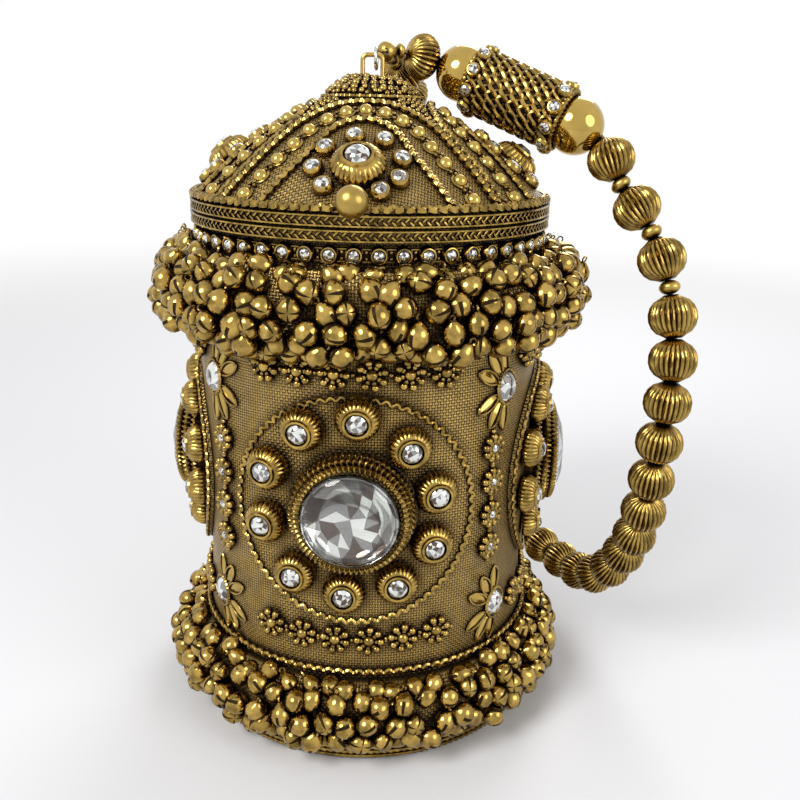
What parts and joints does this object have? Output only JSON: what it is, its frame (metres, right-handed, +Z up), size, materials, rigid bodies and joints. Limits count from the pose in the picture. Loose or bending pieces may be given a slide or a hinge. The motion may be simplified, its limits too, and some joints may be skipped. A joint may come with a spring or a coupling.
{
  "type": "beaded evening clutch",
  "caption": "Drum-shaped evening clutch with hinged domed lid, bell fringes, stone medallions and a beaded loop handle.",
  "frame": {"origin": "centre of the underside of the base", "axes": "+Z up, -Y towards the front medallion and clasp, +Y towards the hinge"},
  "size_m": [0.1577, 0.1513, 0.1981],
  "materials": {
    "base_board": "gold metallic tissue",
    "base_braid": "antique gold",
    "drum_wall": "plain",
    "drum_lining": "satin",
    "drum_cover": "gold metallic tissue",
    "hem_cord": "pale polished gold",
    "cup_chain": "pale polished gold",
    "upper_bell_fringe": "antique gold",
    "lower_bell_fringe": "antique gold",
    "drum_rim_frame": "antique gold",
    "drum_rim_braid": "pale polished gold",
    "hinge_leaf_drum": "antique gold",
    "hinge_pin": "antique gold",
    "clasp_keeper": "antique gold",
    "medallion_patch_front": "gold metallic tissue",
    "medallion_bezel_front": "antique gold",
    "medallion_stone_front": "faceted",
    "medallion_patch_right": "gold metallic tissue",
    "medallion_bezel_right": "antique gold",
    "medallion_stone_right": "faceted",
    "medallion_patch_back": "gold metallic tissue",
    "medallion_bezel_back": "antique gold",
    "medallion_stone_back": "faceted",
    "medallion_patch_left": "gold metallic tissue",
    "medallion_bezel_left": "antique gold",
    "medallion_stone_left": "faceted",
    "lid_rim_frame": "antique gold",
    "lid_rim_braid": "pale polished gold",
    "lid_cover": "gold metallic tissue",
    "lid_shell": "plain",
    "lid_lining": "satin",
    "lid_crown": "pale polished gold",
    "bail": "antique gold",
    "hinge_leaf_lid": "antique gold",
    "clasp_bushing": "antique gold",
    "lid_dome_front": "antique gold",
    "lid_dome_right": "antique gold",
    "lid_dome_back": "antique gold",
    "lid_dome_left": "antique gold",
    "clasp_ball": "pale polished gold",
    "clasp_tongue": "antique gold",
    "jump_ring": "bright",
    "bead_string": "antique gold",
    "big_ball_upper": "pale polished gold",
    "big_ball_lower": "pale polished gold",
    "end_ball_front": "pale polished gold",
    "end_ball_back": "pale polished gold",
    "barrel": "antique gold"
  },
  "bodies": {
    "drum": {"base_board": "base_board", "base_braid": "base_braid", "drum_wall": "drum_wall", "drum_lining": "drum_lining", "drum_cover": "drum_cover", "hem_cord": "hem_cord", "cup_chain": "cup_chain", "upper_bell_fringe": "upper_bell_fringe", "lower_bell_fringe": "lower_bell_fringe", "drum_rim_frame": "drum_rim_frame", "drum_rim_braid": "drum_rim_braid", "hinge_leaf_drum": "hinge_leaf_drum", "hinge_pin": "hinge_pin", "clasp_keeper": "clasp_keeper", "medallion_patch_front": "medallion_patch_front", "medallion_bezel_front": "medallion_bezel_front", "medallion_stone_front": "medallion_stone_front", "medallion_patch_right": "medallion_patch_right", "medallion_bezel_right": "medallion_bezel_right", "medallion_stone_right": "medallion_stone_right", "medallion_patch_back": "medallion_patch_back", "medallion_bezel_back": "medallion_bezel_back", "medallion_stone_back": "medallion_stone_back", "medallion_patch_left": "medallion_patch_left", "medallion_bezel_left": "medallion_bezel_left", "medallion_stone_left": "medallion_stone_left"},
    "lid": {"lid_rim_frame": "lid_rim_frame", "lid_rim_braid": "lid_rim_braid", "lid_cover": "lid_cover", "lid_shell": "lid_shell", "lid_lining": "lid_lining", "lid_crown": "lid_crown", "bail": "bail", "hinge_leaf_lid": "hinge_leaf_lid", "clasp_bushing": "clasp_bushing", "lid_dome_front": "lid_dome_front", "lid_dome_right": "lid_dome_right", "lid_dome_back": "lid_dome_back", "lid_dome_left": "lid_dome_left"},
    "clasp": {"clasp_ball": "clasp_ball", "clasp_tongue": "clasp_tongue"},
    "ring": {"jump_ring": "jump_ring"},
    "handle": {"bead_string": "bead_string", "big_ball_upper": "big_ball_upper", "big_ball_lower": "big_ball_lower", "end_ball_front": "end_ball_front", "end_ball_back": "end_ball_back", "barrel": "barrel"}
  },
  "joints": [
    {"name": "lid_hinge", "type": "hinge", "parent": "drum", "child": "lid", "pos_m": [0, 0.0537, 0.1493], "axis": [-1, 0, 0], "range_deg": [0, 100]},
    {"name": "clasp_press", "type": "slide", "parent": "lid", "child": "clasp", "axis": [0, 1, 0], "range_m": [0, 0.0018], "stiffness_N_per_m": 400},
    {"name": "ring_swing", "type": "hinge", "parent": "lid", "child": "ring", "pos_m": [0, 0, 0.191], "axis": [-1, 0, 0], "range_deg": [-100, 0]},
    {"name": "handle_lift", "type": "hinge", "parent": "ring", "child": "handle", "pos_m": [0.0034, 0.01, 0.1923], "axis": [0, -1, 0], "range_deg": [0, 150]}
  ],
  "couplings": [
    {"joint": "ring_swing", "follows": "lid_hinge", "ratio": -1}
  ]
}
